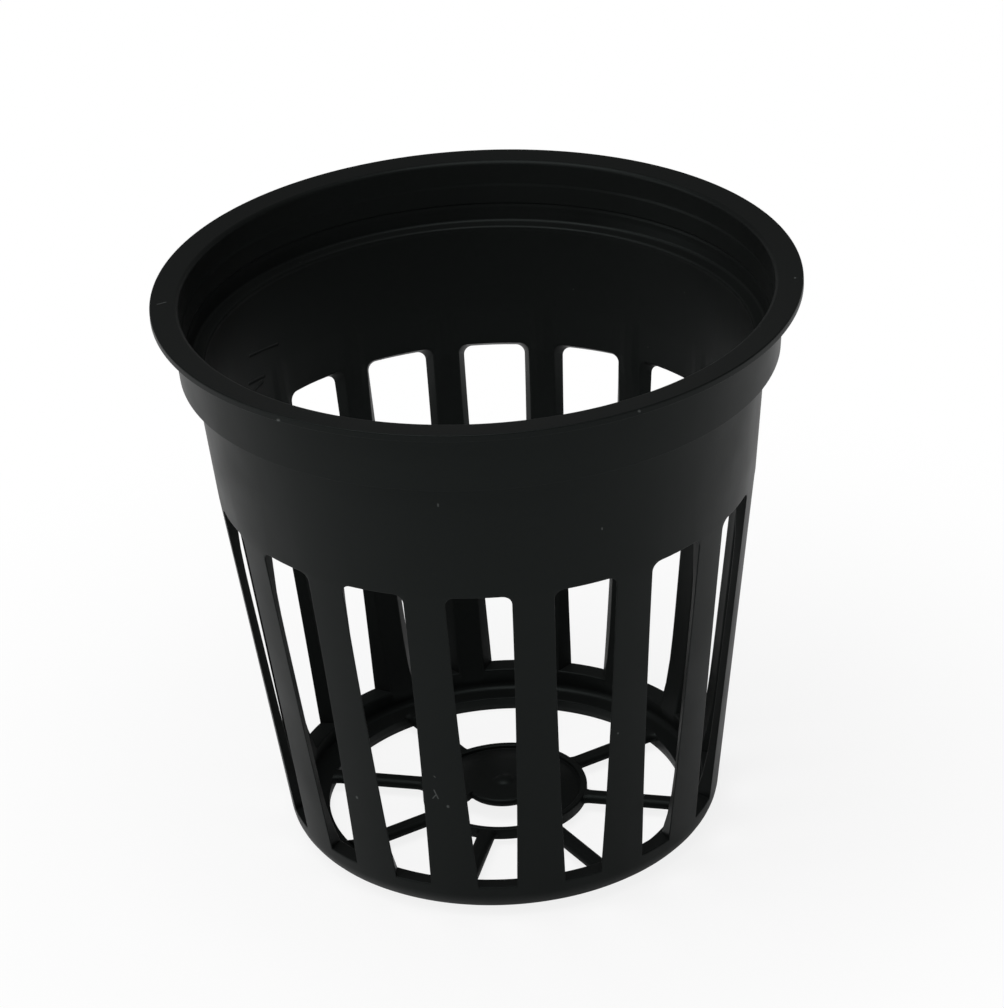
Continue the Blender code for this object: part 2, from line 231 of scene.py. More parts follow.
class NetPotWall(bpy.types.PropertyGroup):
    """Sizes of the slotted wall and its base ring."""

    step_height: FloatProperty(
        name="Step height", description="Height of the step below the collar", default=0.0699,
        unit="LENGTH")
    outer_step: FloatProperty(
        name="Outer radius, step", description="Outer radius at the step", default=0.0374,
        unit="LENGTH")
    outer_head: FloatProperty(
        name="Outer radius, slot heads", description="Outer radius at the slot heads",
        default=0.035694, unit="LENGTH")
    outer_sill: FloatProperty(
        name="Outer radius, sill", description="Outer radius at the sill", default=0.029562,
        unit="LENGTH")
    inner_step: FloatProperty(
        name="Inner radius, step", description="Inner radius at the step", default=0.0359,
        unit="LENGTH")
    inner_sill: FloatProperty(
        name="Inner radius, sill", description="Inner radius at the sill", default=0.027212,
        unit="LENGTH")
    head_height: FloatProperty(
        name="Slot head height", description="Height of the slot heads outside", default=0.0525,
        unit="LENGTH")
    head_rise: FloatProperty(
        name="Slot head rise", description="How much higher the heads are inside", default=0.0011,
        unit="LENGTH")
    sill_height: FloatProperty(
        name="Sill height", description="Height of the slot sills outside", default=0.00515,
        unit="LENGTH")
    sill_fall: FloatProperty(
        name="Sill fall", description="How much lower the sills are inside", default=0.0002,
        unit="LENGTH")
    rib_head: FloatProperty(
        name="Rib width, head", description="Rib width outside at the slot heads", default=0.0056,
        unit="LENGTH")
    rib_foot: FloatProperty(
        name="Rib width, foot", description="Rib width outside at the sill", default=0.0067,
        unit="LENGTH")
    rib_inner: FloatProperty(
        name="Rib width, inside", description="Rib width on the inner face", default=0.0035,
        unit="LENGTH")
    rib_waist: FloatProperty(
        name="Rib waist", description="How much narrower the ribs are halfway up", default=0.0004,
        unit="LENGTH")
    rib_relief: FloatProperty(
        name="Rib relief", description="How far the ribs' inner faces are drawn back halfway up",
        default=0.0011, unit="LENGTH")
    corner_round: FloatProperty(
        name="Slot corner", description="Radius of the slot heads' corners", default=0.0012,
        unit="LENGTH")
    slot_edge_round: FloatProperty(
        name="Slot edge rounding", description="Rounding of the slots' edges", default=0.00018,
        unit="LENGTH")
    recess_depth: FloatProperty(
        name="Recess depth", description="Depth of the recess over each slot inside",
        default=0.0004, unit="LENGTH")
    recess_flank: FloatProperty(
        name="Recess flank", description="Width of the slope at the recess's sides", default=0.0006,
        unit="LENGTH")
    recess_height: FloatProperty(
        name="Recess height", description="How far a recess runs up over its slot", default=0.0055,
        unit="LENGTH")
    floor_top: FloatProperty(
        name="Floor top", description="Height of the floor ring's top", default=0.00195,
        unit="LENGTH")
    floor_underside: FloatProperty(
        name="Floor underside", description="Height of the floor ring's underside", default=0.0009,
        unit="LENGTH")
    hole_radius: FloatProperty(
        name="Hole radius", description="Radius of the hole in the floor", default=0.024212,
        unit="LENGTH")
    foot_inner: FloatProperty(
        name="Foot inner radius", description="Inner radius of the foot ring", default=0.024412,
        unit="LENGTH")
    foot_outer: FloatProperty(
        name="Foot outer radius", description="Outer radius of the foot ring", default=0.025112,
        unit="LENGTH")
    foot_round: FloatProperty(
        name="Foot rounding", description="Rounding of the foot ring's edges", default=0.00012,
        unit="LENGTH")
    hole_round: FloatProperty(
        name="Hole rounding", description="Rounding of the floor hole's upper edge",
        default=0.00015, unit="LENGTH")
    bilge_radius: FloatProperty(
        name="Bilge radius", description="Radius where the wall turns in to the foot",
        default=0.029104, unit="LENGTH")
    bilge_height: FloatProperty(
        name="Bilge height", description="Height where the wall turns in to the foot",
        default=0.001613, unit="LENGTH")
    bilge_round: FloatProperty(
        name="Bilge rounding", description="Length of the turn on each side of the bilge",
        default=0.00215, unit="LENGTH")
    heel_round: FloatProperty(
        name="Heel rounding", description="Rounding inside where wall and floor meet",
        default=0.0009, unit="LENGTH")


class NetPotGrid(bpy.types.PropertyGroup):
    """Sizes of the spokes and the gate hub."""

    spoke_width: FloatProperty(
        name="Spoke width", description="Width of a spoke", default=0.0024, unit="LENGTH")
    spoke_top: FloatProperty(
        name="Spoke top", description="Height of the spokes' tops", default=0.00245, unit="LENGTH")
    spoke_round: FloatProperty(
        name="Spoke rounding", description="Rounding of the spokes' upper edges", default=0.00085,
        unit="LENGTH")
    spoke_underside: FloatProperty(
        name="Spoke underside", description="Height of the spokes' undersides", default=0.0014,
        unit="LENGTH")
    spoke_flare: FloatProperty(
        name="Spoke flare", description="How much wider a spoke is where it ends", default=0.0009,
        unit="LENGTH")
    flare_length: FloatProperty(
        name="Flare length", description="Length of a spoke's flared end", default=0.001,
        unit="LENGTH")
    hub_radius: FloatProperty(
        name="Hub radius", description="Outer radius of the hub", default=0.01134, unit="LENGTH")
    hub_top: FloatProperty(
        name="Hub top", description="Height of the hub's wall", default=0.0025, unit="LENGTH")
    hub_wall: FloatProperty(
        name="Hub wall", description="Thickness of the hub's wall", default=0.0009, unit="LENGTH")
    hub_floor: FloatProperty(
        name="Hub floor", description="Height of the crown's slope at the hub's wall",
        default=0.002, unit="LENGTH")
    crown_radius: FloatProperty(
        name="Crown radius", description="Radius of the crown, up to the window", default=0.00545,
        unit="LENGTH")
    crown_top: FloatProperty(
        name="Crown top", description="Height of the crown", default=0.0034, unit="LENGTH")
    crown_underside: FloatProperty(
        name="Crown underside", description="Height of the crown's hollow underside",
        default=0.0023, unit="LENGTH")
    gate_radius: FloatProperty(
        name="Gate radius", description="Radius of the gate's stub", default=0.0009, unit="LENGTH")
    gate_top: FloatProperty(
        name="Gate top", description="Height of the gate's stub", default=0.0038, unit="LENGTH")
    edge_round: FloatProperty(
        name="Edge rounding", description="Rounding of the hub's edges", default=0.00025,
        unit="LENGTH")
    lip_round: FloatProperty(
        name="Lip rounding", description="Rounding of the crown's edge at the window",
        default=0.0004, unit="LENGTH")
    window_margin: FloatProperty(
        name="Window margin", description="Floor left between the window and the hub's wall",
        default=0.00015, unit="LENGTH")
    window_angle: FloatProperty(
        name="Window half angle", description="Half of the angle that the window spans",
        default=radians(44), subtype="ANGLE")


class NetPotFinish(bpy.types.PropertyGroup):
    """Colours and surface of the plastic."""

    colour: FloatVectorProperty(
        name="Plastic", description="Colour of the plastic", subtype="COLOR", size=3,
        default=(0.0048, 0.0053, 0.0051), min=0, max=1)
    mottle: FloatVectorProperty(
        name="Mottling", description="Colour of the plastic's faint clouds", subtype="COLOR",
        size=3, default=(0.0062, 0.0069, 0.0066), min=0, max=1)
    scuff: FloatVectorProperty(
        name="Scuffs", description="Colour of the faint scattered scuffs", subtype="COLOR", size=3,
        default=(0.02, 0.022, 0.021), min=0, max=1)
    dust: FloatVectorProperty(
        name="Dust", description="Colour of the placed dust specks", subtype="COLOR", size=3,
        default=(0.085, 0.09, 0.088), min=0, max=1)
    roughness: FloatProperty(
        name="Roughness", description="Roughness of the satin surface", default=0.42, min=0, max=1)
    gloss: FloatProperty(
        name="Gloss", description="Strength of the surface's reflection", default=0.105, min=0,
        max=1)
    gloss_tint: FloatVectorProperty(
        name="Gloss tint", description="Cool tint of what the surface mirrors", subtype="COLOR",
        size=3, default=(0.86, 1.0, 0.97), min=0, max=1)


class NetPotStage(bpy.types.PropertyGroup):
    """Camera, floor and light."""

    lens: FloatProperty(
        name="Lens", description="Focal length in millimetres", default=161.154, min=1)
    distance: FloatProperty(
        name="Distance", description="From the camera to the aim point", default=0.60697,
        unit="LENGTH")
    azimuth: FloatProperty(
        name="Azimuth", description="Camera's turn round the pot from the front",
        default=radians(14.318), subtype="ANGLE")
    elevation: FloatProperty(
        name="Elevation", description="Camera's height over the horizon", default=radians(28.504),
        subtype="ANGLE")
    roll: FloatProperty(
        name="Roll", description="Camera's turn about its own axis", default=radians(3.201),
        subtype="ANGLE")
    aim: FloatVectorProperty(
        name="Aim", description="Aim point: right and up in the picture, then height on the axis",
        default=(0.00115, 0.0111, 0.034), subtype="XYZ", unit="LENGTH")
    floor_colour: FloatVectorProperty(
        name="Floor", description="Colour of the floor and the backdrop", subtype="COLOR", size=3,
        default=(0.95, 0.95, 0.95), min=0, max=1)
    whiteness: FloatProperty(
        name="Whiteness",
        description="How much of the floor the camera sees as plain white, over its shadow",
        default=0.85, min=0, max=1)
    mirror_whiteness: FloatProperty(
        name="Mirrored whiteness, near",
        description="How white the floor near the pot is in its gloss", default=0.2, min=0, max=1)
    mirror_far: FloatProperty(
        name="Mirrored whiteness, far",
        description="How white the floor further off is in the pot's gloss", default=0.85, min=0,
        max=1)
    sky: FloatProperty(
        name="Sky", description="Strength of the even light from above", default=0.12, min=0)
    horizon: FloatProperty(
        name="Horizon", description="Strength of the pale backdrop low down all round",
        default=0.55, min=0)
    key: FloatProperty(
        name="Key light", description="Power of the large lamp over the pot in watts", default=8.0,
        min=0)
    side: FloatProperty(
        name="Side light", description="Power of the lamp on the left in watts", default=2.0, min=0)


def between(height, low, low_value, high, high_value):
    """A value that runs straight between two heights."""
    return low_value + (height - low) / (high - low) * (high_value - low_value)


def faded(height, start, full):
    """A share that is 0 at one height and 1 at another, and is held past both."""
    return min(1.0, max(0.0, between(height, start, 0, full, 1)))


def round_corner(bm, vert, setback):
    """Rounds one corner of a flat face."""
    bmesh.ops.bevel(
        bm, geom=[vert], offset=setback, offset_type="OFFSET", segments=ARC_STEPS,
        profile=0.5, affect="VERTICES", material=-1)


def round_edges(bm, edges, width):
    """Rounds edges of a closed shape."""
    bmesh.ops.bevel(
        bm, geom=edges, offset=width, offset_type="OFFSET", segments=EDGE_STEPS,
        profile=0.5, affect="EDGES", material=-1)


def flat_section(corners):
    """A face across the wall from (radius, height, setback) corners, rounded by their setbacks."""
    bm = bmesh.new()
    verts = [bm.verts.new((radius, 0, height)) for radius, height, _ in corners]
    bm.faces.new(verts)
    for vert, (_, _, setback) in zip(verts, corners):
        if setback:
            round_corner(bm, vert, setback)
    return bm


def section_points(corners):
    """The rounded outline of a section as a list of points that starts at its first corner."""
    bm = flat_section(corners)
    bm.faces.ensure_lookup_table()
    points = [vert.co.copy() for vert in bm.faces[0].verts]
    bm.free()
    start = Vector(corners[0][:2])
    first = min(range(len(points)), key=lambda i: (points[i].xz - start).length)
    return points[first:] + points[:first]


def turned(corners, steps, start=0.0):
    """A bmesh turned from a section about the pot's axis."""
    bm = flat_section(corners)
    bmesh.ops.rotate(bm, verts=bm.verts, matrix=Matrix.Rotation(start, 3, "Z"))
    on_axis = [edge for edge in bm.edges if max(vert.co.xy.length for vert in edge.verts) < WELD]
    bmesh.ops.delete(bm, geom=bm.faces[:], context="FACES_ONLY")
    bmesh.ops.delete(bm, geom=on_axis, context="EDGES_FACES")
    bmesh.ops.spin(
        bm, geom=bm.verts[:] + bm.edges[:], axis=AXIS, angle=2 * pi, steps=steps, use_merge=True)
    bmesh.ops.remove_doubles(bm, verts=bm.verts, dist=WELD)
    bmesh.ops.recalc_face_normals(bm, faces=bm.faces)
    return bm


def repeated(bm, count):
    """Repeats what a bmesh holds evenly round the pot's axis."""
    bmesh.ops.spin(
        bm, geom=bm.verts[:] + bm.edges[:] + bm.faces[:], axis=AXIS,
        angle=2 * pi * (count - 1) / count, steps=count - 1, use_duplicate=True)


def make_piece(bm, name, nodes, material):
    """Turns a bmesh into a piece that stands for its CAD nodes."""
    open_edges = [edge for edge in bm.edges if not edge.is_manifold]
    if open_edges:
        raise RuntimeError(f"{name} isn't closed: {len(open_edges)} open edges")
    mesh = bpy.data.meshes.new(name)
    bm.to_mesh(mesh)
    bm.free()
    mesh.shade_smooth()
    mesh.set_sharp_from_angle(angle=SHARP)
    mesh.materials.append(material)
    piece = bpy.data.objects.new(name, mesh)
    bpy.context.scene.collection.objects.link(piece)
    weighted = piece.modifiers.new("flat_faces_stay_flat", "WEIGHTED_NORMAL")
    weighted.keep_sharp = True
    weighted.weight = FLAT_WEIGHT
    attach(piece, BODY)
    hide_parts(*nodes)
    return piece


def new_node(tree, kind, location, **settings):
    """A node at its place in the editor, with its settings."""
    node = tree.nodes.new(kind)
    node.location = location
    for name, value in settings.items():
        setattr(node, name, value)
    return node


def noise(tree, place, location, scale, detail):
    """A noise with so many cells to the metre."""
    texture = new_node(tree, "ShaderNodeTexNoise", location)
    texture.inputs["Scale"].default_value = scale
    texture.inputs["Detail"].default_value = detail
    tree.links.new(place, texture.inputs["Vector"])
    return texture.outputs["Fac"]


def ramp(tree, source, location, starts, ends, interpolation="SMOOTHSTEP"):
    """A value that runs between two values while its source runs between two others."""
    scaled = new_node(tree, "ShaderNodeMapRange", location, interpolation_type=interpolation)
    for name, value in zip(("From Min", "From Max", "To Min", "To Max"), (*starts, *ends)):
        scaled.inputs[name].default_value = value
    tree.links.new(source, scaled.inputs["Value"])
    return scaled.outputs["Result"]


def layered(tree, below, location, share, colour):
    """A colour laid over another one by a share."""
    mix = new_node(tree, "ShaderNodeMix", location, data_type="RGBA")
    mix.inputs["B"].default_value = (*colour, 1)
    tree.links.new(below, mix.inputs["A"])
    tree.links.new(share, mix.inputs["Factor"])
    return mix.outputs["Result"]


def marks(tree, place, strokes, level):
    """A mask that is one along short strokes, each of a start, an end and a radius."""
    link = tree.links.new
    whole = None
    for number, (start, end, radius) in enumerate(strokes):
        row = level + NODE_ROW * number
        along = Vector(end) - Vector(start)
        offset = new_node(tree, "ShaderNodeVectorMath", (-2700, row), operation="SUBTRACT")
        offset.inputs[1].default_value = start
        link(place, offset.inputs[0])
        reach = new_node(tree, "ShaderNodeVectorMath", (-2500, row), operation="DOT_PRODUCT")
        reach.inputs[1].default_value = along / along.length_squared
        link(offset.outputs["Vector"], reach.inputs[0])
        held = new_node(tree, "ShaderNodeMath", (-2300, row), operation="MULTIPLY", use_clamp=True)
        held.inputs[1].default_value = 1.0
        link(reach.outputs["Value"], held.inputs[0])
        nearest = new_node(tree, "ShaderNodeVectorMath", (-2100, row), operation="SCALE")
        nearest.inputs[0].default_value = along
        link(held.outputs["Value"], nearest.inputs["Scale"])
        gap = new_node(tree, "ShaderNodeVectorMath", (-1900, row), operation="DISTANCE")
        link(offset.outputs["Vector"], gap.inputs[0])
        link(nearest.outputs["Vector"], gap.inputs[1])
        mark = ramp(tree, gap.outputs["Value"], (-1700, row), (0.0, radius), (1.0, 0.0))
        if whole:
            both = new_node(tree, "ShaderNodeMath", (-1500, row), operation="MAXIMUM")
            link(whole, both.inputs[0])
            link(mark, both.inputs[1])
            mark = both.outputs["Value"]
        whole = mark
    return whole


def black_plastic(finish):
    """Satin black polypropylene: faint clouds, a fine moulded grain, dust, scuffs and scratches."""
    material = bpy.data.materials.get("black_polypropylene")
    if material:
        return material
    material = bpy.data.materials.new("black_polypropylene")
    material.use_nodes = True
    material.diffuse_color = (*finish.colour, 1)
    tree = material.node_tree
    link = tree.links.new
    shader = tree.nodes["Principled BSDF"]
    shader.inputs["Specular IOR Level"].default_value = finish.gloss
    shader.inputs["Specular Tint"].default_value = (*finish.gloss_tint, 1)
    shader.inputs["Metallic"].default_value = 0.0
    place = new_node(tree, "ShaderNodeTexCoord", (-3000, 0)).outputs["Object"]

    clouds = noise(tree, place, (-1050, 300), CLOUD_SCALE, CLOUD_DETAIL)
    tint = new_node(tree, "ShaderNodeMix", (-650, 300), data_type="RGBA")
    tint.inputs["A"].default_value = (*finish.colour, 1)
    tint.inputs["B"].default_value = (*finish.mottle, 1)
    link(clouds, tint.inputs["Factor"])
    cells = new_node(tree, "ShaderNodeTexVoronoi", (-1050, 0))
    cells.inputs["Scale"].default_value = SCUFF_SCALE
    link(place, cells.inputs["Vector"])
    scuffs = ramp(tree, cells.outputs["Distance"], (-850, 0), SCUFF_REACH, (1.0, 0.0), "LINEAR")
    colour = layered(tree, tint.outputs["Result"], (-400, 300), scuffs, finish.scuff)
    dust = marks(tree, place, DUST, 700)
    colour = layered(tree, colour, (-200, 300), dust, finish.dust)
    link(colour, shader.inputs["Base Color"])

    sheen = (finish.roughness - SHEEN_DROP, finish.roughness + SHEEN_RISE)
    rough = ramp(tree, clouds, (-650, 50), SHEEN_CLOUDS, sheen, "LINEAR")
    link(rough, shader.inputs["Roughness"])

    grain = new_node(tree, "ShaderNodeBump", (-400, -300))
    grain.inputs["Strength"].default_value = GRAIN_STRENGTH
    grain.inputs["Distance"].default_value = GRAIN_DEPTH
    link(noise(tree, place, (-850, -350), GRAIN_SCALE, GRAIN_DETAIL), grain.inputs["Height"])
    dents = new_node(tree, "ShaderNodeBump", (-200, -300), invert=True)
    dents.inputs["Distance"].default_value = SCRATCH_DEPTH
    link(marks(tree, place, SCRATCHES, -900), dents.inputs["Height"])
    link(grain.outputs["Normal"], dents.inputs["Normal"])
    link(dents.outputs["Normal"], shader.inputs["Normal"])
    return material


def rim_corners(rim, wall):
    """The rim's section, from the seam inside the ledge round by the step and over the flange."""
    step = wall.step_height
    ledge = step + rim.ledge_rise
    flange_low = rim.top - rim.flange_thickness
    mouth = rim.collar_top - rim.collar_wall
    mouth_top = rim.top - rim.dish
    throat = rim.collar_foot - rim.collar_wall
    throat_top = ledge + rim.throat_height

    def inside(height):
        return between(height, ledge, throat, mouth_top, mouth)

    depth = rim.ring_depth
    rings = (
        (rim.shoulder_height + SHOULDER_RUN * depth, depth),
        (rim.shoulder_height - SHOULDER_RUN * depth, 0),
        (rim.groove_height + GROOVE_RUN_UP * depth, 0),
        (rim.groove_height, depth),
        (rim.groove_height - GROOVE_RUN_DOWN * depth, 0),
    )
    return [
        (wall.inner_step, step, 0),
        (rim.collar_foot, step, rim.step_round),
        (rim.collar_top, flange_low, rim.flange_round / 2),
        (rim.radius, flange_low, rim.flange_round / 3),
        (rim.radius, rim.top, rim.flange_round),
        (mouth, mouth_top, rim.mouth_round),
        *((inside(height) + cut, height, depth / 2) for height, cut in rings),
        (inside(throat_top), throat_top, rim.ledge_round),
        (throat - rim.throat_slope, ledge, rim.ledge_round),
        (wall.inner_step, ledge, rim.ledge_round),
    ]


def outer_radius(wall, height):
    """The outside, which opens a little faster above the slots' heads."""
    if height > wall.head_height:
        return between(
            height, wall.head_height, wall.outer_head, wall.step_height, wall.outer_step)
    return between(height, wall.sill_height, wall.outer_sill, wall.head_height, wall.outer_head)


def inner_radius(wall, height):
    """The inside, drawn back between the slots' ends, where the ribs are slim."""
    straight = between(
        height, wall.sill_height, wall.inner_sill, wall.step_height, wall.inner_step)
    rise = between(height, wall.sill_height, -1, wall.head_height, 1)
    return straight + wall.rib_relief * max(0.0, 1 - rise ** RELIEF_POWER)


class WallFace:
    """One face of the slotted wall, which knows where its slots' outlines and columns lie."""

    def __init__(self, wall, radius, head, sill, widths, waist=0.0):
        self.wall = wall
        self.radius = radius
        self.head = head
        self.sill = sill
        self.widths = widths
        self.waist = waist
        self.corner = head - wall.corner_round
        self.margin = 2 * wall.slot_edge_round
        self.first_row = 0

    def slot_half(self, height):
        """Half of the slot's width along the face."""
        height = min(max(height, self.sill), self.head)
        rise = between(height, self.sill, -1, self.head, 1)
        rib = between(rise, -1, self.widths[0], 1, self.widths[1]) - self.waist * (1 - rise ** 2)
        radius = self.radius(self.wall, height)
        return radius * (PITCH / 2 - asin(rib / 2 / radius))

    def side_heights(self):
        """Heights of the rows beside the slot, from just above its head to just below its sill."""
        top = self.head + self.margin
        low = self.sill - self.margin
        by_corner = [top + (self.corner - top) * row / CORNER_ROWS for row in range(CORNER_ROWS)]
        below = [
            self.corner + (low - self.corner) * row / SIDE_ROWS for row in range(SIDE_ROWS + 1)]
        return by_corner + below

    def last_row(self):
        """The row of the slot's sill, on the face whose rows run down."""
        return self.first_row + SLOT_ROWS

    def column(self, column, height):
        """Angle from the slot's middle at which a column passes a height."""
        count = abs(column)
        held = min(max(height, self.sill), self.head)
        radius = self.radius(self.wall, held)
        half = self.slot_half(held)
        flat = half - self.wall.corner_round
        box = half + self.margin
        step = box + self.wall.recess_flank
        rib = radius * PITCH / 2
        stops = (
            (0, 0), (FLAT_COLUMN, flat), (BOX_COLUMN, box), (STEP_COLUMN, step), (RIB_COLUMN, rib))
        for (low, start), (high, end) in zip(stops, stops[1:]):
            if count <= high:
                break
        across = between(count, low, start, high, end) / radius
        return across if column > 0 else -across

    def outline(self, column, row):
        """Place along the face and height of the slot's outline beside a point of its box."""
        count = abs(column)
        place = row - self.first_row
        radius = self.wall.corner_round
        if row == self.last_row():
            height = self.sill
            across = self.slot_half(height) * count / BOX_COLUMN
        elif place > CORNER_ROWS:
            height = self.side_heights()[place]
            across = self.slot_half(height)
        elif place == 0 and count <= FLAT_COLUMN:
            height = self.head
            across = (self.slot_half(height) - radius) * count / FLAT_COLUMN
        else:
            angle = (CORNER_ROWS + BOX_COLUMN - count - place) * pi / 4 / CORNER_ROWS
            height = self.corner + radius * sin(angle)
            across = self.slot_half(height) - radius + radius * cos(angle)
        return (across if column > 0 else -across), height


def recess_cut(wall, column, height):
    """How far the inside is cut back over a slot: deepest at its head, fading out upwards."""
    low = wall.head_height - wall.corner_round
    high = wall.head_height + wall.recess_height
    if abs(column) > BOX_COLUMN or not low < height < high:
        return 0.0
    onset = min(1.0, (height - low) / wall.corner_round)
    return wall.recess_depth * (high - height) / wall.recess_height * onset


def recess_clear(wall):
    """Height up to which the inside's columns follow the slots, clear of their recesses."""
    return wall.head_height + RECESS_CLEAR * wall.recess_height


def wall_section(wall, outer, inner):
    """The wall's section, from the step down the outside, round the foot and up the inside.

    Each face is told the row of its slots' heads.
    """
    plain = wall.step_height - wall.head_height
    band = [wall.step_height - plain * share for share in BAND_SHARES]
    outside = band + outer.side_heights()
    inside = inner.side_heights() + [wall.head_height + wall.recess_height, recess_clear(wall)]
    inside = sorted(set(inside)) + band[::-1][1:]
    foot = [
        (wall.bilge_radius, wall.bilge_height, wall.bilge_round),
        (wall.foot_outer, 0, wall.foot_round),
        (wall.foot_inner, 0, wall.foot_round),
        (wall.hole_radius, wall.floor_underside, wall.foot_round),
        (wall.hole_radius, wall.floor_top, wall.hole_round),
        (wall.inner_sill, wall.floor_top, wall.heel_round),
    ]
    points = section_points(
        [(outer_radius(wall, height), height, 0) for height in outside] + foot
        + [(inner_radius(wall, height), height, 0) for height in inside])
    outer.first_row = len(band)
    inner.first_row = len(points) - len(inside) + SLOT_ROWS
    return points


def seat_wall(bm, wall, points, outer, inner):
    """Moves the flat grid of one bay to its place on the wall."""
    middle = (outer.last_row() + inner.first_row) / 2
    inner_low = inner.first_row - SLOT_ROWS
    for vert in bm.verts:
        column, row = round(vert.co.x), round(vert.co.y)
        if vert.co.z > HALF_CELL:
            # The inside's rows run up, so they count back from the slot's head
            face, down = (outer, row) if row < middle else (inner, 2 * inner.first_row - row)
            across, height = face.outline(column, down)
            radius = face.radius(wall, height)
            angle = across / radius
        else:
            point = points[row % len(points)]
            radius, height = point.x, point.z
            even = column / RIB_COLUMN * PITCH / 2
            if row <= outer.last_row():
                share = faded(height, wall.step_height, outer.head + outer.margin)
                angle = even + share * (outer.column(column, height) - even)
            elif row >= inner_low:
                share = faded(height, wall.step_height, recess_clear(wall))
                angle = even + share * (inner.column(column, height) - even)
            else:
                share = (row - outer.last_row()) / (inner_low - outer.last_row())
                outside = outer.column(column, wall.sill_height)
                inside = inner.column(column, wall.sill_height)
                angle = outside + share * (inside - outside)
        if row > middle:
            radius += recess_cut(wall, column, height)
        vert.co = (radius * cos(angle), radius * sin(angle), height)


def make_bay(wall):
    """One bay of the wall: a slot in the middle and half a rib on each side."""
    head = wall.head_height
    sill = wall.sill_height
    outer = WallFace(wall, outer_radius, head, sill, (wall.rib_foot, wall.rib_head), wall.rib_waist)
    inner = WallFace(
        wall, inner_radius, head + wall.head_rise, sill - wall.sill_fall,
        (wall.rib_inner, wall.rib_inner))
    points = wall_section(wall, outer, inner)
    rows = len(points)

    bm = bmesh.new()
    bmesh.ops.create_grid(bm, x_segments=BAY_COLUMNS, y_segments=rows, size=HALF_CELL)
    bmesh.ops.scale(bm, verts=bm.verts, vec=(BAY_COLUMNS, rows, 1))
    bmesh.ops.translate(bm, verts=bm.verts, vec=(0, rows / 2, 0))

    rims = []
    slot_rows = (
        (outer.first_row, outer.last_row()), (inner.first_row - SLOT_ROWS, inner.first_row))
    for low, high in slot_rows:
        box = [
            face for face in bm.faces
            if abs(face.calc_center_median().x) < BOX_COLUMN
            and low < face.calc_center_median().y < high]
        bmesh.ops.delete(bm, geom=box, context="FACES")
        around = [
            edge for edge in bm.edges
            if edge.is_boundary and all(
                abs(vert.co.x) < BOX_COLUMN + HALF_CELL
                and low - HALF_CELL < vert.co.y < high + HALF_CELL
                for vert in edge.verts)]
        grown = bmesh.ops.extrude_edge_only(bm, edges=around)["geom"]
        moved = [item for item in grown if isinstance(item, bmesh.types.BMVert)]
        bmesh.ops.translate(bm, verts=moved, vec=(0, 0, 1))
        rims += [
            item for item in grown if isinstance(item, bmesh.types.BMEdge)
            and all(vert.co.z > HALF_CELL for vert in item.verts)]

    seat_wall(bm, wall, points, outer, inner)
    bmesh.ops.remove_doubles(bm, verts=bm.verts, dist=WELD)
    bmesh.ops.bridge_loops(bm, edges=rims)
    bmesh.ops.recalc_face_normals(bm, faces=bm.faces)
    round_edges(bm, rims, wall.slot_edge_round)
    return bm


def make_spoke(grid, wall):
    """One spoke along +X: a section with rounded upper corners, extruded from flare to flare."""
    start, end = grid.hub_radius - HUB_LAP, wall.hole_radius + RING_LAP
    flares = [
        (grid.flare_length * share, grid.spoke_width + grid.spoke_flare * (1 - share) ** 2)
        for share in FLARE_SHARES]
    stations = [(start + along, width) for along, width in flares]
    stations += [(end - along, width) for along, width in reversed(flares)]

    half, low, high = grid.spoke_width / 2, grid.spoke_underside, grid.spoke_top
    corners = ((-half, low), (half, low), (half, high), (-half, high))
    bm = bmesh.new()
    verts = [bm.verts.new((start, across, up)) for across, up in corners]
    bm.faces.new(verts)
    for vert in verts[2:]:
        round_corner(bm, vert, grid.spoke_round)
    bmesh.ops.scale(bm, verts=bm.verts, vec=(1, stations[0][1] / grid.spoke_width, 1))
    face = bm.faces[:][0]
    for (place, width), (next_place, next_width) in zip(stations, stations[1:]):
        behind = face
        grown = bmesh.ops.extrude_face_region(bm, geom=[face])["geom"]
        face = next(item for item in grown if isinstance(item, bmesh.types.BMFace))
        if place > start:
            # The first face closes the spoke's end, but later ones would lie inside it
            bmesh.ops.delete(bm, geom=[behind], context="FACES_ONLY")
        bmesh.ops.translate(bm, verts=face.verts, vec=(next_place - place, 0, 0))
        bmesh.ops.scale(bm, verts=face.verts, vec=(1, next_width / width, 1))
    bmesh.ops.recalc_face_normals(bm, faces=bm.faces)
    return bm


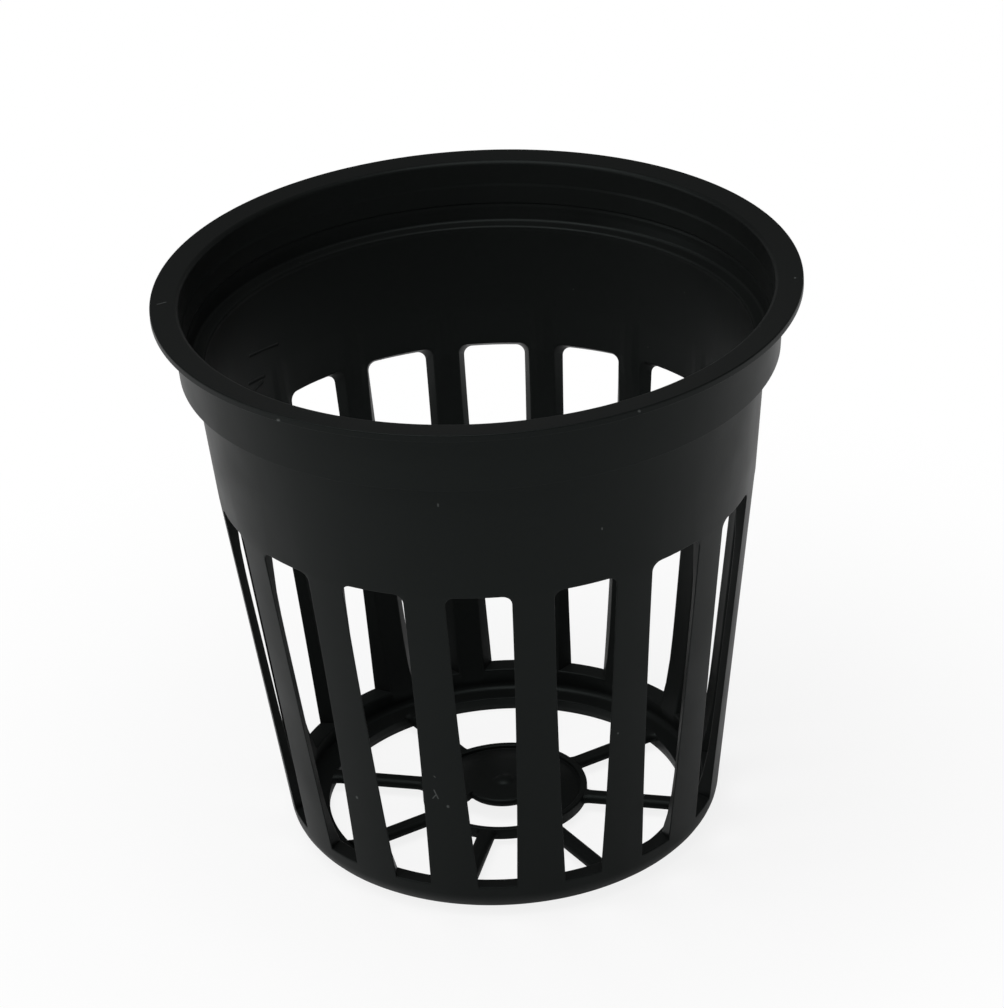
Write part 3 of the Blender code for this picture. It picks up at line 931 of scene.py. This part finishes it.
def make_hub(grid, underside):
    """The crowned hub, turned from its section, with a window cut through its slope."""
    window_in = grid.crown_radius
    window_out = grid.hub_radius - grid.hub_wall - grid.window_margin
    halfway = (window_in + window_out) / 2
    wall_in = grid.hub_radius - grid.hub_wall
    corners = [
        (0, grid.crown_underside, 0),
        (window_in, grid.crown_underside, 0),
        (halfway, between(HALFWAY_RISE, 0, underside, 1, grid.crown_underside), 0),
        (window_out, underside, 0),
        (grid.hub_radius, underside, grid.edge_round / 2),
        (grid.hub_radius, grid.hub_top, grid.edge_round),
        (wall_in, grid.hub_top, grid.edge_round),
        (wall_in, grid.hub_floor, grid.window_margin / 2),
        (window_out, grid.hub_floor, 0),
        (halfway, between(HALFWAY_RISE, 0, grid.hub_floor, 1, grid.crown_top), 0),
        (window_in, grid.crown_top, 0),
        (GATE_FOOT * grid.gate_radius, grid.crown_top, GATE_FOOT_ROUND * grid.gate_radius),
        (GATE_TIP * grid.gate_radius, grid.gate_top, GATE_TIP_ROUND * grid.gate_radius),
        (0, grid.gate_top, 0),
    ]
    bm = turned(corners, HUB_TURNS, start=FRONT - grid.window_angle)
    window = [
        face for face in bm.faces
        if window_in < face.calc_center_median().xy.length < window_out
        and abs(face.normal.z) > LEVEL
        and abs(face.calc_center_median().xy.angle(Vector((0, -1)))) < grid.window_angle]
    bmesh.ops.delete(bm, geom=window, context="FACES")
    rims = [edge for edge in bm.edges if edge.is_boundary]
    bmesh.ops.bridge_loops(bm, edges=rims)
    bmesh.ops.recalc_face_normals(bm, faces=bm.faces)
    lip = [
        edge for edge in rims
        if max(vert.co.xy.length for vert in edge.verts) < window_in + WELD]
    round_edges(bm, lip, grid.lip_round)
    return bm


def whiten(tree, shader, output, shares):
    """Mixes white over a shader, by a share for each kind of ray, or wholly for None."""
    link = tree.links.new
    white = new_node(tree, "ShaderNodeEmission", (0, -250))
    white.inputs["Color"].default_value = (1, 1, 1, 1)
    rays = new_node(tree, "ShaderNodeLightPath", (-400, 500))
    mix = new_node(tree, "ShaderNodeMixShader", (300, 0))
    total = None
    for number, (kind, share) in enumerate(shares):
        row = 500 + NODE_ROW * number
        part = new_node(tree, "ShaderNodeMath", (-200, row), operation="MULTIPLY_ADD")
        part.inputs[1].default_value = 1.0
        part.inputs[2].default_value = 0.0
        link(rays.outputs[kind], part.inputs[0])
        if share:
            link(share, part.inputs[1])
        if total:
            link(total, part.inputs[2])
        total = part.outputs["Value"]
    link(total, mix.inputs["Fac"])
    link(shader, mix.inputs[1])
    link(white.outputs["Emission"], mix.inputs[2])
    link(mix.outputs["Shader"], tree.nodes[output].inputs["Surface"])


def make_floor(stage):
    """A pale floor that keeps the pot's shadow and turns white away from it."""
    bm = bmesh.new()
    bmesh.ops.create_circle(bm, cap_ends=True, segments=FLOOR_SIDES, radius=FLOOR_RADIUS)
    mesh = bpy.data.meshes.new("floor")
    bm.to_mesh(mesh)
    bm.free()
    material = bpy.data.materials.new("pale_floor")
    material.use_nodes = True
    tree = material.node_tree
    shader = tree.nodes["Principled BSDF"]
    shader.inputs["Base Color"].default_value = (*stage.floor_colour, 1)
    shader.inputs["Roughness"].default_value = FLOOR_ROUGHNESS
    shader.inputs["Specular IOR Level"].default_value = 0.0
    place = new_node(tree, "ShaderNodeTexCoord", (-900, 100))
    reach = new_node(tree, "ShaderNodeVectorMath", (-700, 100), operation="LENGTH")
    tree.links.new(place.outputs["Object"], reach.inputs[0])
    away = reach.outputs["Value"]
    seen = ramp(tree, away, (-450, 100), WHITE_REACH, (stage.whiteness, 1.0))
    mirrored = ramp(
        tree, away, (-450, -200), WHITE_REACH, (stage.mirror_whiteness, stage.mirror_far))
    whiten(tree, shader.outputs["BSDF"], "Material Output", (
        ("Is Camera Ray", seen), ("Is Glossy Ray", mirrored), ("Is Transmission Ray", mirrored)))
    mesh.materials.append(material)
    floor = bpy.data.objects.new("floor", mesh)
    bpy.context.scene.collection.objects.link(floor)


def make_world(stage):
    """Even light from all round, brighter low down, where the camera sees plain white."""
    world = bpy.data.worlds.new("studio")
    world.use_nodes = True
    tree = world.node_tree
    even = tree.nodes["Background"]
    even.inputs["Color"].default_value = (1, 1, 1, 1)
    place = new_node(tree, "ShaderNodeTexCoord", (-900, 0))
    height = new_node(tree, "ShaderNodeSeparateXYZ", (-700, 0))
    tree.links.new(place.outputs["Generated"], height.inputs["Vector"])
    strength = ramp(
        tree, height.outputs["Z"], (-450, 0), BACKDROP_RISE, (stage.horizon, stage.sky))
    tree.links.new(strength, even.inputs["Strength"])
    whiten(tree, even.outputs["Background"], "World Output", (("Is Camera Ray", None),))
    bpy.context.scene.world = world


def make_lamp(name, power, size, place):
    """A square lamp that faces the middle of the pot."""
    data = bpy.data.lights.new(name, "AREA")
    data.energy = power
    data.shape = "SQUARE"
    data.size = size
    lamp = bpy.data.objects.new(name, data)
    lamp.location = place
    aim = Vector((0, 0, CAD_HIGH.z / 2)) - Vector(place)
    lamp.rotation_euler = aim.to_track_quat("-Z", "Y").to_euler()
    bpy.context.scene.collection.objects.link(lamp)


def make_camera(stage):
    """The camera at the photo's angle."""
    turn, rise = stage.azimuth, stage.elevation
    right = Vector((cos(turn), sin(turn), 0))
    ahead = Vector((-sin(turn) * cos(rise), cos(turn) * cos(rise), -sin(rise)))
    up = right.cross(ahead)
    rolled_right = cos(stage.roll) * right - sin(stage.roll) * up
    rolled_up = sin(stage.roll) * right + cos(stage.roll) * up
    across, lift, height = stage.aim
    eye = Vector((0, 0, height)) + across * rolled_right + lift * rolled_up - stage.distance * ahead
    data = bpy.data.cameras.new("photo_camera")
    data.lens = stage.lens
    data.clip_start = NEAREST_SEEN
    camera = bpy.data.objects.new("photo_camera", data)
    axes = Matrix((rolled_right, rolled_up, -ahead)).transposed().to_4x4()
    camera.matrix_world = Matrix.Translation(eye) @ axes
    bpy.context.scene.collection.objects.link(camera)
    bpy.context.scene.camera = camera


class NETPOT_OT_rim(bpy.types.Operator):
    """Make the flange and the collar as one turned piece"""

    bl_idname = "netpot.rim"
    bl_label = "Make the rim"

    def execute(self, context):
        scene = context.scene
        bm = turned(rim_corners(scene.netpot_rim, scene.netpot_wall), TURNS)
        make_piece(bm, "rim", ("rim_flange", "collar"), black_plastic(scene.netpot_finish))
        return {"FINISHED"}


class NETPOT_OT_slotted_wall(bpy.types.Operator):
    """Make the band, the ribs and the base ring as one wall with a slot in each bay"""

    bl_idname = "netpot.slotted_wall"
    bl_label = "Make the slotted wall"

    def execute(self, context):
        scene = context.scene
        bm = make_bay(scene.netpot_wall)
        bmesh.ops.rotate(bm, verts=bm.verts, matrix=Matrix.Rotation(FRONT + PITCH / 2, 3, "Z"))
        repeated(bm, len(RIBS))
        bmesh.ops.remove_doubles(bm, verts=bm.verts, dist=WELD)
        nodes = ("wall_band", "base_ring", *RIBS)
        make_piece(bm, "slotted_wall", nodes, black_plastic(scene.netpot_finish))
        return {"FINISHED"}


class NETPOT_OT_bottom_grid(bpy.types.Operator):
    """Make the spokes between the hub and the floor ring, flared where they end"""

    bl_idname = "netpot.bottom_grid"
    bl_label = "Make the bottom grid"

    def execute(self, context):
        scene = context.scene
        bm = make_spoke(scene.netpot_grid, scene.netpot_wall)
        bmesh.ops.rotate(bm, verts=bm.verts, matrix=Matrix.Rotation(FRONT, 3, "Z"))
        repeated(bm, len(SPOKES))
        make_piece(bm, "bottom_grid", SPOKES, black_plastic(scene.netpot_finish))
        return {"FINISHED"}


class NETPOT_OT_gate_hub(bpy.types.Operator):
    """Make the crowned hub with its outer wall, the gate's stub and the window in its slope"""

    bl_idname = "netpot.gate_hub"
    bl_label = "Make the gate hub"

    def execute(self, context):
        scene = context.scene
        bm = make_hub(scene.netpot_grid, scene.netpot_wall.floor_underside)
        make_piece(bm, "gate_hub", ("hub",), black_plastic(scene.netpot_finish))
        return {"FINISHED"}


class NETPOT_OT_stage(bpy.types.Operator):
    """Make the floor, the lights and the camera at the photo's angle"""

    bl_idname = "netpot.stage"
    bl_label = "Make the stage"

    def execute(self, context):
        stage = context.scene.netpot_stage
        make_floor(stage)
        make_world(stage)
        make_lamp("key", stage.key, *KEY_LAMP)
        make_lamp("left", stage.side, *LEFT_LAMP)
        make_camera(stage)
        context.scene.view_settings.view_transform = "Standard"
        return {"FINISHED"}


PANEL_PARTS = (
    ("Rim", "netpot_rim", ("netpot.rim",)),
    ("Wall", "netpot_wall", ("netpot.slotted_wall",)),
    ("Bottom", "netpot_grid", ("netpot.bottom_grid", "netpot.gate_hub")),
    ("Finish", "netpot_finish", ()),
    ("Stage", "netpot_stage", ("netpot.stage",)),
)


class NETPOT_PT_panel(bpy.types.Panel):
    """Sizes, finish and stage of the net pot"""

    bl_label = "Net Pot"
    bl_idname = "NETPOT_PT_panel"
    bl_space_type = "VIEW_3D"
    bl_region_type = "UI"
    bl_category = "Net Pot"

    def draw(self, context):
        for heading, attribute, operators in PANEL_PARTS:
            box = self.layout.box()
            box.label(text=heading)
            group = getattr(context.scene, attribute)
            for name in group.bl_rna.properties.keys():
                if name not in ("rna_type", "name"):
                    box.prop(group, name)
            for operator in operators:
                box.operator(operator)


GROUPS = {
    "netpot_rim": NetPotRim,
    "netpot_wall": NetPotWall,
    "netpot_grid": NetPotGrid,
    "netpot_finish": NetPotFinish,
    "netpot_stage": NetPotStage,
}

CLASSES = (
    *GROUPS.values(),
    NETPOT_OT_rim,
    NETPOT_OT_slotted_wall,
    NETPOT_OT_bottom_grid,
    NETPOT_OT_gate_hub,
    NETPOT_OT_stage,
    NETPOT_PT_panel,
)


def register():
    for cls in CLASSES:
        bpy.utils.register_class(cls)
    for attribute, group in GROUPS.items():
        setattr(bpy.types.Scene, attribute, PointerProperty(type=group))


def unregister():
    for attribute in GROUPS:
        delattr(bpy.types.Scene, attribute)
    for cls in reversed(CLASSES):
        bpy.utils.unregister_class(cls)


def main():
    register()
    bpy.ops.netpot.rim()
    bpy.ops.netpot.slotted_wall()
    bpy.ops.netpot.bottom_grid()
    bpy.ops.netpot.gate_hub()
    bpy.ops.netpot.stage()


if __name__ == "__main__":
    main()
